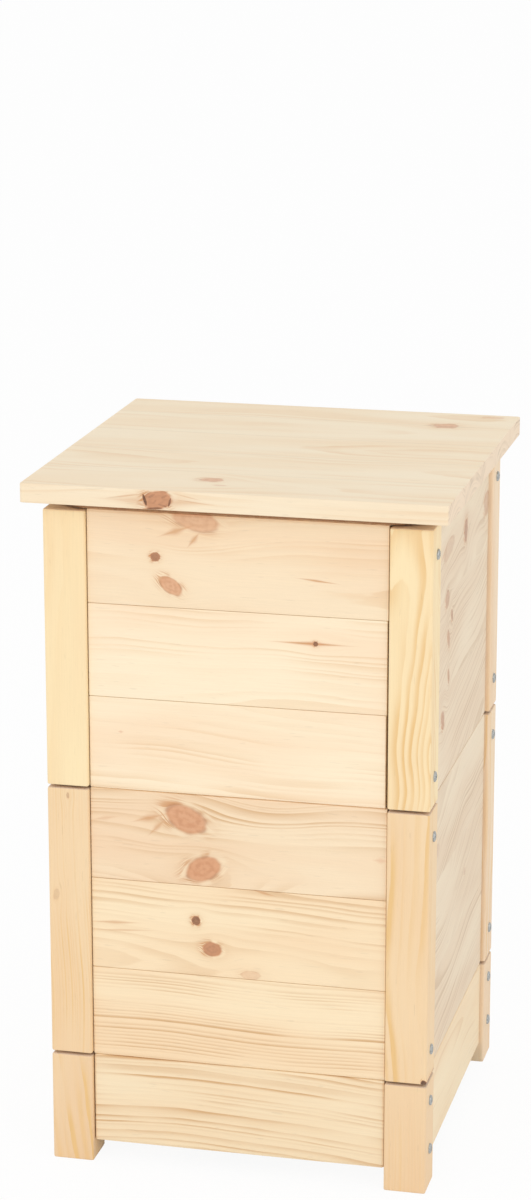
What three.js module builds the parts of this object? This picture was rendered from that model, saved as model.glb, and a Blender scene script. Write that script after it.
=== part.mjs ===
// A wooden wormery: a legged base with a drip tray, two stacking boxes with cloth
// liners, a coir mat and a loose lid. Millimetres, +Z up, front towards -Y. The
// origin is on the floor under the middle of the stack.
import * as THREE from "three";
import { mergeVertices } from "three/addons/utils/BufferGeometryUtils.js";

// Driving dimensions of the stack
const footprint = 400; // outer side of the square frame, over the posts
const postSize = 44; // square section of every post
const boardHeight = 98; // one wall board
const boardThickness = 18;
const boardsPerBox = 3;
const boardRecess = 5; // how far a wall lies behind the posts' outer faces
const boardEndGap = 0.8; // between a wall's ends and the posts
const postShortfall = 1.5; // how far the walls stand proud of a post's end
const footHeight = 22; // how far the base's legs reach below its boards
const fitGap = 0.3; // between pieces that meet
const halfShare = 0.5;

// Eased edges
const postEase = 2.5;
const boardEase = 3; // the outer edges of a wall
const seamEase = 0.9; // the edges where two boards of a wall meet
const easeSteps = 2; // facets round an eased corner
const chamferSteps = 1; // a chamfer is one flat facet
const endEaseShare = 0.7; // ends are eased a little less than long edges

// Tongue and groove between the boards of one wall
const tongueThickness = 6;
const tongueDepth = 6;

// The upper box's front boards have dried a little short, from the bottom one up, and
// leave a gap at the right post.
const upperFrontShortfalls = [2, 1.3, 0.5];

// Floor of a box: cleats along its side walls, slats across them
const cleatSize = 18;
const slatThickness = 12;
const slatGap = 15.35;
const slatCount = 5;
const lathChamfer = 1;

// Cloth liner
const linerThickness = 1.5;
const linerClearance = 1; // between the cloth and the wood
const linerDrop = 4; // from the box's rim down to the cloth's edge
const linerSag = 8; // how far the edge dips between the staples
const linerBendShare = 22; // sharpness of the cloth's bends round the posts
const linerAroundSteps = 64;
const linerRowSteps = 7;
const foldReach = 9; // depth of the deepest fold, measured into the box

// Drip tray, what carries it in the base, and the battens in the base's corners
const trayEndClearance = 3; // from the rim to the side boards
const traySideClearance = 19; // from the rim to the line of the legs' inner faces
const trayRimDrop = 7.7; // from the base's rim down to the tray's
const trayWall = 2.2;
const trayDraft = 10; // how much narrower each side is at the floor
const trayCornerRadius = 22; // at the rim's outline
const trayCornerShare = 0.85; // how fast the corners tighten towards the floor
const trayFilletRadius = 7;
const rimWidth = 8;
const rimLip = 9; // how far the rolled rim turns down
const rimRounding = 3;
const trayCornerSteps = 6;
const trayRoundSteps = 3;
const bearerThickness = 12;
const bearerWidth = 60;
const bearerClearance = 2; // from the corner battens
const battenWidth = 28;
const battenDepth = 18;
const battenDrop = 10; // from the base's rim down to the top of a corner batten

// Coir mat and lid
const matSetback = 8; // of its left and right edges, from the frame's outer faces
const matFrontSetback = 2; // of its front and back edges
const matThickness = 8;
const matCornerRadius = 40;
const matCornerSteps = 8;
const matEase = 2;
const lidOverhang = 18;
const lidThickness = 20;
const lidCornerRadius = 3;
const lidEase = 1.5;

// Worked out from the driving dimensions
const half = footprint * halfShare;
const boxHeight = boardHeight * boardsPerBox;
const baseHeight = footHeight + boardHeight;
const wallSpan = footprint - 2 * postSize - 2 * boardEndGap; // length of a wall between two posts
const wallOuter = half - boardRecess;
const wallInner = wallOuter - boardThickness;
const postInner = half - postSize;
const floorTop = cleatSize + slatThickness + 2 * fitGap;
const slatWidth = (wallSpan - (slatCount - 1) * slatGap) / slatCount;
const trayHeight = boardHeight - bearerThickness - fitGap - trayRimDrop;
const trayLength = 2 * wallInner - 2 * trayEndClearance;
const trayDepth = 2 * postInner - 2 * traySideClearance;
const matLength = footprint - 2 * matSetback;
const matDepth = footprint - 2 * matFrontSetback;

const colours = {
  pine: 0xf6dcb2,
  paleWood: 0xead3ac,
  cloth: 0x151413,
  tray: 0x9fdc1e,
  coir: 0xa06f45,
};

function wood(colour) {
  return new THREE.MeshStandardMaterial({ color: colour, roughness: 0.62, metalness: 0 });
}

const materials = {
  pine: () => wood(colours.pine),
  paleWood: () => wood(colours.paleWood),
  cloth: () =>
    new THREE.MeshStandardMaterial({ color: colours.cloth, roughness: 0.9, metalness: 0 }),
  tray: () =>
    new THREE.MeshStandardMaterial({ color: colours.tray, roughness: 0.32, metalness: 0 }),
  coir: () => new THREE.MeshStandardMaterial({ color: colours.coir, roughness: 1, metalness: 0 }),
};

function piece(name, geometry, material) {
  const mesh = new THREE.Mesh(geometry, material);
  mesh.name = name;
  return mesh;
}

// A rectangle with rounded corners, centred, as a shape.
function roundedRectangle(width, height, radius) {
  const x = width * halfShare - radius;
  const y = height * halfShare - radius;
  const quarter = Math.PI * halfShare;
  const shape = new THREE.Shape();
  shape.absarc(x, y, radius, 0, quarter);
  shape.absarc(-x, y, radius, quarter, 2 * quarter);
  shape.absarc(-x, -y, radius, 2 * quarter, 3 * quarter);
  shape.absarc(x, -y, radius, 3 * quarter, 4 * quarter);
  return shape;
}

// A bar of one section along +Z, centred, whose end edges are eased too.
function easedBar(section, length, ease, steps = easeSteps, endSteps = easeSteps) {
  const endEase = ease * endEaseShare;
  const bar = new THREE.ExtrudeGeometry(section, {
    depth: length - 2 * endEase,
    curveSegments: steps,
    bevelEnabled: true,
    bevelThickness: endEase,
    bevelSize: endEase,
    bevelOffset: -endEase,
    bevelSegments: endSteps,
  });
  bar.translate(0, 0, endEase - length * halfShare);
  return bar;
}

// Lays a bar made along +Z down along +X, with its section's height kept upright.
function layAlongX(bar) {
  const across = new THREE.Vector3(0, 1, 0);
  const up = new THREE.Vector3(0, 0, 1);
  const along = new THREE.Vector3(1, 0, 0);
  return bar.applyMatrix4(new THREE.Matrix4().makeBasis(across, up, along));
}

// A batten with chamfered edges, upright and centred.
function batten(width, thickness, length) {
  const section = roundedRectangle(width, thickness, lathChamfer);
  return easedBar(section, length, lathChamfer, chamferSteps, chamferSteps);
}

// A lath with chamfered edges, laid along +X and centred.
function lath(length, width, thickness) {
  return layAlongX(batten(width, thickness, length));
}

// Section of a wall board, thickness by height, with a tongue on top and a groove
// below where it meets a neighbour. Its height is measured without the tongue.
function boardSection(height, hasTongue, hasGroove) {
  const over = hasTongue ? seamEase : boardEase;
  const under = hasGroove ? seamEase : boardEase;
  const t = boardThickness * halfShare;
  const bottom = -height * halfShare;
  const top = height * halfShare;
  const tongue = tongueThickness * halfShare - fitGap;
  const groove = tongueThickness * halfShare;
  const s = new THREE.Shape();
  s.moveTo(t, bottom + under);
  s.lineTo(t, top - over);
  s.quadraticCurveTo(t, top, t - over, top);
  if (hasTongue) {
    s.lineTo(tongue, top);
    s.lineTo(tongue, top + tongueDepth - fitGap);
    s.lineTo(-tongue, top + tongueDepth - fitGap);
    s.lineTo(-tongue, top);
  }
  s.lineTo(over - t, top);
  s.quadraticCurveTo(-t, top, -t, top - over);
  s.lineTo(-t, bottom + under);
  s.quadraticCurveTo(-t, bottom, under - t, bottom);
  if (hasGroove) {
    s.lineTo(-groove, bottom);
    s.lineTo(-groove, bottom + tongueDepth);
    s.lineTo(groove, bottom + tongueDepth);
    s.lineTo(groove, bottom);
  }
  s.lineTo(t - under, bottom);
  s.quadraticCurveTo(t, bottom, t, bottom + under);
  return s;
}

function boardGeometry(length, height, hasTongue = false, hasGroove = false) {
  const section = boardSection(height, hasTongue, hasGroove);
  const ease = hasTongue || hasGroove ? seamEase : boardEase;
  return layAlongX(easedBar(section, length, ease));
}

// A group turned so that its -Y side faces out of one wall of the frame.
const turnShares = { front: 0, right: 0.25, back: 0.5, left: 0.75 };
function wallGroup(side) {
  const group = new THREE.Group();
  group.rotation.z = turnShares[side] * 2 * Math.PI;
  return group;
}

// The four corners of a frame, each at the same distances from the middle.
function cornerPlaces(x, y) {
  return {
    front_left: [-x, -y],
    front_right: [x, -y],
    back_right: [x, y],
    back_left: [-x, y],
  };
}

// One post per corner, between two heights.
function addPosts(parent, prefix, bottom, top) {
  const place = half - postSize * halfShare;
  const height = top - bottom;
  for (const [corner, [x, y]] of Object.entries(cornerPlaces(place, place))) {
    const section = roundedRectangle(postSize, postSize, postEase);
    const post = piece(prefix + "_" + corner, easedBar(section, height, postEase), materials.pine());
    post.position.set(x, y, bottom + height * halfShare);
    parent.add(post);
  }
}

const boardLevels = ["bottom", "middle", "top"];

// A wall of tongued and grooved boards, laid up from the bottom. A board that is short
// keeps its left end in place.
function addBoardWall(parent, prefix, side, shortfalls = []) {
  const wall = wallGroup(side);
  const pitch = boxHeight / boardsPerBox;
  for (let i = 0; i < boardsPerBox; i++) {
    const isTop = i === boardsPerBox - 1;
    const isBottom = i === 0;
    // Each joint between two boards takes its gap from the board above it.
    const height = isBottom ? pitch : pitch - fitGap;
    const name = prefix + "_" + side + "_board_" + (boardLevels[i] ?? i + 1);
    const shortfall = shortfalls[i] ?? 0;
    const shape = boardGeometry(wallSpan - shortfall, height, !isTop, !isBottom);
    const board = piece(name, shape, materials.pine());
    const centre = (i + 1) * pitch - height * halfShare;
    board.position.set(-shortfall * halfShare, boardThickness * halfShare - wallOuter, centre);
    wall.add(board);
  }
  parent.add(wall);
}

// A side wall is one panel, glued up edge to edge.
function addPanelWall(parent, name, side, height, bottom) {
  const wall = wallGroup(side);
  const panel = piece(name, boardGeometry(wallSpan, height), materials.pine());
  panel.position.set(0, boardThickness * halfShare - wallOuter, bottom + height * halfShare);
  wall.add(panel);
  parent.add(wall);
}

// Two cleats along the side walls and the slats that lie across them.
function addBoxFloor(parent, prefix) {
  const cleatPlace = wallInner - fitGap - cleatSize * halfShare;
  for (const side of ["left", "right"]) {
    const cleat = piece(
      prefix + "_floor_cleat_" + side,
      lath(wallSpan, cleatSize, cleatSize),
      materials.paleWood(),
    );
    cleat.rotation.z = Math.PI * halfShare;
    cleat.position.set(side === "left" ? -cleatPlace : cleatPlace, 0, cleatSize * halfShare);
    parent.add(cleat);
  }
  const slatLength = 2 * wallInner - 2 * fitGap;
  const pitch = slatWidth + slatGap;
  for (let i = 0; i < slatCount; i++) {
    const slat = piece(
      prefix + "_floor_slat_" + (i + 1),
      lath(slatLength, slatWidth, slatThickness),
      materials.paleWood(),
    );
    const place = (i - (slatCount - 1) * halfShare) * pitch;
    slat.position.set(0, place, cleatSize + fitGap + slatThickness * halfShare);
    parent.add(slat);
  }
}

// Joins rows of points into a closed skin: row after row, each a ring of the same
// length, capped at both ends by a fan to a centre point.
function closedSkin(rings, firstCentre, lastCentre) {
  const around = rings[0].length;
  const positions = rings.flat().concat([firstCentre, lastCentre]).flat();
  const first = rings.length * around;
  const last = first + 1;
  const index = [];
  for (let r = 0; r + 1 < rings.length; r++) {
    for (let i = 0; i < around; i++) {
      const a = r * around + i;
      const b = r * around + ((i + 1) % around);
      index.push(a, b, b + around);
      index.push(a, b + around, a + around);
    }
  }
  const top = (rings.length - 1) * around;
  for (let i = 0; i < around; i++) {
    const next = (i + 1) % around;
    index.push(first, next, i);
    index.push(last, top + i, top + next);
  }
  const skin = new THREE.BufferGeometry();
  skin.setAttribute("position", new THREE.Float32BufferAttribute(positions, 3));
  skin.setIndex(index);
  skin.computeVertexNormals();
  return skin;
}

// Folds of a liner: where each lies round the wall, as a share of a full turn, how
// wide and how deep it is as shares, and how it leans from the rim to the floor.
const foldShares = [
  { place: 0.035, width: 0.014, depth: 0.55, lean: 0.012 },
  { place: 0.13, width: 0.02, depth: 0.75, lean: -0.02 },
  { place: 0.225, width: 0.012, depth: 0.5, lean: 0.016 },
  { place: 0.315, width: 0.016, depth: 1, lean: 0.004 },
  { place: 0.39, width: 0.02, depth: 0.6, lean: -0.022 },
  { place: 0.52, width: 0.014, depth: 0.6, lean: 0.018 },
  { place: 0.63, width: 0.02, depth: 0.8, lean: -0.012 },
  { place: 0.76, width: 0.015, depth: 0.55, lean: 0.014 },
  { place: 0.88, width: 0.02, depth: 0.7, lean: 0.02 },
];
const foldFloorShare = 0.25; // what is left of a fold at the floor
const upperFoldShare = 0.02; // how far round the upper box's folds are moved
const sagShares = { long: 0.6, short: 0.4 };
const sagWaves = { long: 4, short: 11 };

// Depth of the folds at a place round the wall and a height, both as shares.
function foldDepth(turn, rise, phase) {
  const fade = foldFloorShare + (1 - foldFloorShare) * rise;
  let depth = 0;
  for (const fold of foldShares) {
    const centre = fold.place + phase + fold.lean * (1 - rise);
    const off = turn - centre - Math.round(turn - centre);
    depth += fold.depth * Math.exp(-((off / fold.width) ** 2));
  }
  return foldReach * fade * Math.min(depth, 1);
}

// Distance from the middle of the box to the cloth, in one direction: flat along the
// walls, and slanting across the inner corner of each post.
function linerReach(angle) {
  const wall = wallInner - linerClearance;
  const corner = 2 * postInner - Math.SQRT2 * linerClearance;
  const c = Math.abs(Math.cos(angle));
  const s = Math.abs(Math.sin(angle));
  const nearness = [c / wall, s / wall, (c + s) / corner];
  const sum = nearness.reduce((total, n) => total + n ** linerBendShare, 0);
  return sum ** (-1 / linerBendShare);
}

// The open cloth bag that lines a box, with its folds and its wavy edge.
function linerGeometry(phase) {
  const bottom = floorTop;
  const ring = (inset, rise, lift) => {
    const points = [];
    for (let i = 0; i < linerAroundSteps; i++) {
      const turn = i / linerAroundSteps;
      const angle = turn * 2 * Math.PI;
      const waves =
        sagShares.long * Math.sin(angle * sagWaves.long + phase * sagWaves.short) +
        sagShares.short * Math.sin(angle * sagWaves.short);
      const edge = boxHeight - linerDrop - linerSag * halfShare * (1 + waves);
      const reach = linerReach(angle) - inset - foldDepth(turn, rise, phase);
      const z = bottom + lift + rise * (edge - bottom - lift);
      points.push([reach * Math.cos(angle), reach * Math.sin(angle), z]);
    }
    return points;
  };
  const rings = [];
  for (let row = 0; row <= linerRowSteps; row++) rings.push(ring(0, row / linerRowSteps, 0));
  for (let row = linerRowSteps; row >= 0; row--) {
    rings.push(ring(linerThickness, row / linerRowSteps, linerThickness));
  }
  return closedSkin(rings, [0, 0, bottom], [0, 0, bottom + linerThickness]);
}

// One ring of the tray: a rounded rectangle set in from the rim's outline.
function trayRing(inset, z) {
  const radius = trayCornerRadius - inset * trayCornerShare;
  const x = trayLength * halfShare - inset - radius;
  const y = trayDepth * halfShare - inset - radius;
  const centres = [
    [x, y],
    [-x, y],
    [-x, -y],
    [x, -y],
  ];
  const points = [];
  centres.forEach(([cx, cy], quarter) => {
    for (let i = 0; i <= trayCornerSteps; i++) {
      const angle = (quarter + i / trayCornerSteps) * Math.PI * halfShare;
      points.push([cx + radius * Math.cos(angle), cy + radius * Math.sin(angle), z]);
    }
  });
  return points;
}

// Points of a quarter round in the tray's profile, as an inset and a height. It runs
// between two of the directions down (-1), out (0) and up (1).
function trayRound(inset, z, radius, from, to) {
  const points = [];
  for (let i = 0; i <= trayRoundSteps; i++) {
    const angle = (from + ((to - from) * i) / trayRoundSteps) * Math.PI * halfShare;
    points.push([inset - radius * Math.cos(angle), z + radius * Math.sin(angle)]);
  }
  return points;
}

// The moulded drip tray: drafted walls, a filleted floor and a rolled rim.
function trayGeometry() {
  const floorInset = rimWidth + trayDraft;
  const under = trayFilletRadius;
  const over = trayFilletRadius - trayWall;
  const top = trayHeight;
  const profile = [
    ...trayRound(floorInset + under, under, under, -1, 0),
    [rimWidth, top - trayWall],
    [trayWall, top - trayWall],
    [trayWall, top - rimLip],
    [0, top - rimLip],
    ...trayRound(rimRounding, top - rimRounding, rimRounding, 0, 1),
    [rimWidth - trayWall, top],
    [rimWidth + trayWall, top - trayWall],
    ...trayRound(floorInset + under, trayWall + over, over, 0, -1),
  ];
  const rings = profile.map(([inset, z]) => trayRing(inset, z));
  return closedSkin(rings, [0, 0, 0], [0, 0, trayWall]);
}

function addBase(parent) {
  const base = new THREE.Group();
  const battenHeight = boardHeight - battenDrop;
  const battenX = postInner - fitGap - battenWidth * halfShare;
  const battenY = wallInner - fitGap - battenDepth * halfShare;
  addPosts(base, "base_leg", 0, baseHeight - postShortfall);
  for (const side of Object.keys(turnShares)) {
    addPanelWall(base, "base_board_" + side, side, boardHeight, footHeight);
  }
  for (const side of ["left", "right"]) {
    const bearer = piece(
      "tray_bearer_" + side,
      lath(2 * wallInner - 2 * fitGap, bearerWidth, bearerThickness),
      materials.paleWood(),
    );
    bearer.rotation.z = Math.PI * halfShare;
    const place = battenX - (battenWidth + bearerWidth) * halfShare - bearerClearance;
    bearer.position.set(side === "left" ? -place : place, 0, footHeight + bearerThickness * halfShare);
    base.add(bearer);
  }
  for (const [corner, [x, y]] of Object.entries(cornerPlaces(battenX, battenY))) {
    const shape = batten(battenWidth, battenDepth, battenHeight);
    const cornerBatten = piece("corner_batten_" + corner, shape, materials.paleWood());
    cornerBatten.position.set(x, y, footHeight + battenHeight * halfShare);
    base.add(cornerBatten);
  }
  const tray = piece("drip_tray", trayGeometry(), materials.tray());
  tray.position.z = footHeight + bearerThickness + fitGap;
  base.add(tray);
  parent.add(base);
}

function addBox(parent, prefix, bottom, foldPhase, frontShortfalls) {
  const box = new THREE.Group();
  box.position.z = bottom;
  addPosts(box, prefix + "_post", postShortfall, boxHeight - postShortfall);
  addBoardWall(box, prefix, "front", frontShortfalls);
  addBoardWall(box, prefix, "back");
  addPanelWall(box, prefix + "_side_panel_left", "left", boxHeight, 0);
  addPanelWall(box, prefix + "_side_panel_right", "right", boxHeight, 0);
  addBoxFloor(box, prefix);
  box.add(piece(prefix + "_liner", linerGeometry(foldPhase), materials.cloth()));
  parent.add(box);
}

function addTop(parent, rim) {
  const matShape = roundedRectangle(matLength, matDepth, matCornerRadius);
  const matBody = easedBar(matShape, matThickness, matEase, matCornerSteps);
  const mat = piece("coir_mat", matBody, materials.coir());
  mat.position.z = rim + matThickness * halfShare;
  parent.add(mat);
  const lidSide = footprint + 2 * lidOverhang;
  const lidShape = roundedRectangle(lidSide, lidSide, lidCornerRadius);
  const lid = piece("lid", easedBar(lidShape, lidThickness, lidEase), materials.pine());
  lid.position.z = rim + matThickness + lidThickness * halfShare;
  parent.add(lid);
}

const wormery = new THREE.Group();
addBase(wormery);
addBox(wormery, "lower", baseHeight, 0);
addBox(wormery, "upper", baseHeight + boxHeight, upperFoldShare, upperFrontShortfalls);
addTop(wormery, baseHeight + 2 * boxHeight);
wormery.traverse((part) => {
  if (part.isMesh) part.geometry = mergeVertices(part.geometry.deleteAttribute("uv"));
});

export default wormery;
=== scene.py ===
"""A wooden wormery: pine boxes with cloth liners, a coir mat, a lid and a green drip tray.

Metres, +Z up, with the front towards -Y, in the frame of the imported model.
"""
import math
import random
from collections import namedtuple

import bmesh
import bpy
from mathutils import Matrix, Vector, noise


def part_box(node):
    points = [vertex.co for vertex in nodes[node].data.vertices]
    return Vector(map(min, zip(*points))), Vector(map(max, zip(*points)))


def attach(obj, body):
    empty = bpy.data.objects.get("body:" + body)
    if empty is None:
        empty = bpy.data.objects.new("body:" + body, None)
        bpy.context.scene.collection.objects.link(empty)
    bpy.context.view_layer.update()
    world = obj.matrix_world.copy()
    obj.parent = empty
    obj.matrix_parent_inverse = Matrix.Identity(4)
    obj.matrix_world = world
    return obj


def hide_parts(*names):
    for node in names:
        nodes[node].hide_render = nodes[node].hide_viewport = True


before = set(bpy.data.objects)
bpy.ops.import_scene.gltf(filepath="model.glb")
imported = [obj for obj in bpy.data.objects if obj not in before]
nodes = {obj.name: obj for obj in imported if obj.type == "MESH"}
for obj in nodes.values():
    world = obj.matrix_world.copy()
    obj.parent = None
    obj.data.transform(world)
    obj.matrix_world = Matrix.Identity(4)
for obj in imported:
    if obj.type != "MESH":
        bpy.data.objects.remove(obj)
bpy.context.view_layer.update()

AXES = {"X": Vector((1, 0, 0)), "Y": Vector((0, 1, 0)), "Z": Vector((0, 0, 1))}
CORNERS = ("front_left", "front_right", "back_right", "back_left")
LEVELS = ("bottom", "middle", "top")
QUARTER = math.pi / 2
MILLIMETRE = 0.001
WHITE = (1.0, 1.0, 1.0, 1.0)

# Camera, where the photograph's pieces line up once they are lifted apart
CAMERA_PLACE = (0.762, -3.278, 1.474)
CAMERA_TURN = math.radians(13.364)
CAMERA_TILT = math.radians(90 - 15.01)
FRAME_HEIGHT = 1200
FOCAL_PIXELS = 3290
SENSOR = 36.0


def add_camera():
    lens = bpy.data.cameras.new("camera")
    lens.sensor_fit = "AUTO"
    lens.sensor_width = SENSOR
    lens.lens = SENSOR * FOCAL_PIXELS / FRAME_HEIGHT
    camera = bpy.data.objects.new("camera", lens)
    camera.location = CAMERA_PLACE
    camera.rotation_euler = (CAMERA_TILT, 0, CAMERA_TURN)
    bpy.context.scene.collection.objects.link(camera)
    bpy.context.scene.camera = camera


add_camera()


# Building node trees


class Field:
    """A socket whose value changes over a surface, to be calculated with like a number."""

    def __init__(self, tree, socket):
        self.tree = tree
        self.socket = socket

    def __add__(self, other):
        return calc("ADD", self, other)

    def __sub__(self, other):
        return calc("SUBTRACT", self, other)

    def __rsub__(self, other):
        return calc("SUBTRACT", other, self)

    def __mul__(self, other):
        return calc("MULTIPLY", self, other)

    def __truediv__(self, other):
        return calc("DIVIDE", self, other)

    def __rtruediv__(self, other):
        return calc("DIVIDE", other, self)

    def __abs__(self):
        return calc("ABSOLUTE", self)


def fields(tree, sockets):
    return {socket.name: Field(tree, socket) for socket in sockets}


def tree_of(*values):
    return next(value.tree for value in values if isinstance(value, Field))


def join(source, socket):
    """Links a field to a socket, or sets a plain value."""
    if isinstance(source, Field):
        source.tree.links.new(source.socket, socket)
    else:
        socket.default_value = source


def add(tree, kind, inputs=None, **settings):
    made = tree.nodes.new(kind)
    for key, value in settings.items():
        setattr(made, key, value)
    for key, value in (inputs or {}).items():
        join(value, made.inputs[key])
    return made


def field(tree, kind, inputs=None, output=0, **settings):
    return Field(tree, add(tree, kind, inputs, **settings).outputs[output])


def calc(operation, *values, clamp=False):
    inputs = dict(enumerate(values))
    return field(tree_of(*values), "ShaderNodeMath", inputs, operation=operation, use_clamp=clamp)


def calc_vector(operation, place, other, socket=1, output=0):
    """A sum, a product or the like of two vectors."""
    inputs = {0: place, socket: other}
    return field(place.tree, "ShaderNodeVectorMath", inputs, output, operation=operation)


def ramp(value, start, end, low=0.0, high=1.0):
    """Goes smoothly from low to high as the value goes from start to end."""
    inputs = {"Value": value, "From Min": start, "From Max": end, "To Min": low, "To Max": high}
    return field(value.tree, "ShaderNodeMapRange", inputs, interpolation_type="SMOOTHSTEP", clamp=True)


def blend(share, a, b, kind="MIX"):
    """A colour between two, by a share."""
    inputs = {0: share, 6: a, 7: b}
    return field(tree_of(share, a, b), "ShaderNodeMix", inputs, 2, data_type="RGBA", blend_type=kind)


def point(x, y, z):
    """A place from its coordinates, of which X changes over the surface."""
    return field(x.tree, "ShaderNodeCombineXYZ", {"X": x, "Y": y, "Z": z})


def scaled(place, scale, **others):
    """A place where a pattern gets finer by a scale along each axis."""
    return field(place.tree, "ShaderNodeMapping", {"Vector": place, "Scale": scale, **others})


def cloud(place, scale=1.0, detail=2.0, roughness=0.5):
    """A soft noise from 0 to 1 at a place."""
    inputs = {"Vector": place, "Scale": scale, "Detail": detail, "Roughness": roughness}
    return field(place.tree, "ShaderNodeTexNoise", inputs)


def bell(value, middle, width):
    """1 where a value is at its middle, and less and less on both sides."""
    off = (value - middle) / width
    return calc("EXPONENT", off * off * -1.0)


def kind_of_socket(is_colour):
    return "NodeSocketColor" if is_colour else "NodeSocketFloat"


def start_group(name, inputs):
    """An empty node group, and its inputs by name."""
    made = bpy.data.node_groups.new(name, "ShaderNodeTree")
    for label, value in inputs.items():
        kind = kind_of_socket(isinstance(value, tuple))
        made.interface.new_socket(label, in_out="INPUT", socket_type=kind).default_value = value
    return made, fields(made, made.nodes.new("NodeGroupInput").outputs)


def end_group(made, outputs):
    """Gives a node group its outputs."""
    for label in outputs:
        made.interface.new_socket(label, in_out="OUTPUT", socket_type=kind_of_socket(label == "Colour"))
    end = made.nodes.new("NodeGroupOutput").inputs
    for label, value in outputs.items():
        join(value, end[label])
    return made


def use_group(tree, made, inputs):
    placed = tree.nodes.new("ShaderNodeGroup")
    placed.node_tree = made
    for key, value in inputs.items():
        join(value, placed.inputs[key])
    return fields(tree, placed.outputs)


def linear(red, green, blue):
    """A colour as seen on screen, from 0 to 255, as the shader wants it."""
    parts = []
    for part in (red, green, blue):
        share = part / 255
        parts.append(share / 12.92 if share <= 0.04045 else ((share + 0.055) / 1.055) ** 2.4)
    return (*parts, 1.0)


def start_material(name, specular=0.5):
    """A new material, its surface's inputs, and a place and a direction on the piece."""
    material = bpy.data.materials.new(name)
    material.use_nodes = True
    tree = material.node_tree
    surface = tree.nodes["Principled BSDF"].inputs
    surface["Specular IOR Level"].default_value = specular
    source = fields(tree, add(tree, "ShaderNodeTexCoord").outputs)
    return material, surface, source["Object"], source["Normal"]


def cover(surface, colour, roughness, height, depth, strength):
    """Gives a surface its colour, its roughness and its bump."""
    inputs = {"Height": height, "Distance": depth, "Strength": strength}
    bump = field(height.tree, "ShaderNodeBump", inputs)
    for label, value in {"Base Color": colour, "Roughness": roughness, "Normal": bump}.items():
        join(value, surface[label])


# Pine: growth rings, knots and the colours of cut wood


def make_knot_group():
    """One knot in a board: how it bends the grain round it, and what shows of it."""
    places = ("Along", "Across", "Bent", "Knot Along", "Knot Across", "Turn", "Pointed")
    sizes = {"Length": 0.01, "Width": 0.01, "Pull": 1.0}
    group, given = start_group("knot", {**dict.fromkeys(places, 0.0), **sizes})
    dx = given["Along"] - given["Knot Along"]
    dy = given["Across"] - given["Knot Across"]
    cosine = calc("COSINE", given["Turn"])
    sine = calc("SINE", given["Turn"])
    u = (dx * cosine + dy * sine) / given["Length"]
    v = (dy * cosine - dx * sine) / given["Width"]
    square = u * u + v * v
    round_far = calc("SQRT", square + 0.0001)
    # A pointed one thins out to both ends.
    pointed_far = calc("POWER", abs(v), 0.6) * 0.9 + calc("SQRT", u * u + 0.04) - 0.12
    far = round_far + (pointed_far - round_far) * given["Pointed"]
    # Which way from the knot's middle, for what changes round it.
    way_u = u / round_far
    way_v = v / round_far
    seed = given["Knot Along"] * 57.0
    wobble = cloud(point(way_u, way_v, seed), detail=1.0)
    partly = cloud(point(way_u, way_v, seed + 3.0), 1.2, detail=1.0)
    far = far + (wobble * 0.3 - 0.15)
    core = ramp(far, 1.1, 0.86)
    rim = bell(far, 1.0, 0.1) * ramp(partly, 0.42, 0.62, 0.1)
    halo = calc("EXPONENT", calc("MAXIMUM", far - 1.0, 0.0) * -1.6)
    pale = bell(far, 1.25, 0.2) * ramp(partly, 0.62, 0.45)
    # Dark fibres that part before the knot and close behind it, as water does round a
    # stone: they show at its ends, and more at one end than at the other.
    stream = v * (1.0 - 0.9 / calc("MAXIMUM", square, 1.0))
    wisps = cloud(point(stream * 8.0, abs(u) * 0.5 + seed, 0.0))
    ends = bell(far, 1.1, 0.42) * ramp(abs(way_u), 0.0, 0.7, 0.15)
    uneven = ramp(way_u * -0.16 + partly, 0.38, 0.56, 0.22)
    flare = ramp(wisps, 0.43, 0.57) * ends * uneven
    mottled = cloud(point(given["Along"], given["Across"], 0.0), 210.0)
    rings = calc("SINE", wobble * 4.0 + far * 12.0) * 0.12 + mottled
    # The grain closes up on both sides of the knot, over a longer stretch along it.
    long = dx / (given["Length"] * 2.1 + 0.004)
    wide = dy / (given["Width"] * 1.9 + 0.003)
    near = calc("EXPONENT", (long * long + wide * wide) * -1.0) * given["Pull"]
    bent = (given["Bent"] - given["Knot Across"]) * (near * -0.9 + 1.0) + given["Knot Across"]
    shown = {"Core": core, "Rim": rim, "Halo": halo, "Pale": pale, "Flare": flare}
    rings = ramp(rings, 0.3, 0.75) * core
    return end_group(group, {**shown, "Soft": ramp(far, 1.15, 0.25), "Rings": rings, "Bent": bent})


def make_strip_group():
    """Strips glued up edge to edge: the place within a strip, its number and its seam."""
    group, given = start_group("glued strips", {"Across": 0.0, "Width": 0.09, "Start": 0.0})
    place = (given["Across"] - given["Start"]) / given["Width"]
    number = calc("FLOOR", place)
    middle = place - number - 0.5
    gap = given["Width"] * 0.5 - abs(middle) * given["Width"]
    seam = ramp(gap, 0.0007, 0.0002)
    return end_group(group, {"Across": middle * given["Width"], "Number": number, "Seam": seam})


# How fine each part of a figure is along the grain and across it, in cycles a metre
ROUGH_RINGS = (9.0, 45.0)
PATCHES = (7.0, 26.0)
FIBRE_LINES = (22.0, 900.0)
WARM_PATCHES = (3.5, 17.0)
RESIN_STREAKS = (60.0, 520.0)


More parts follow.
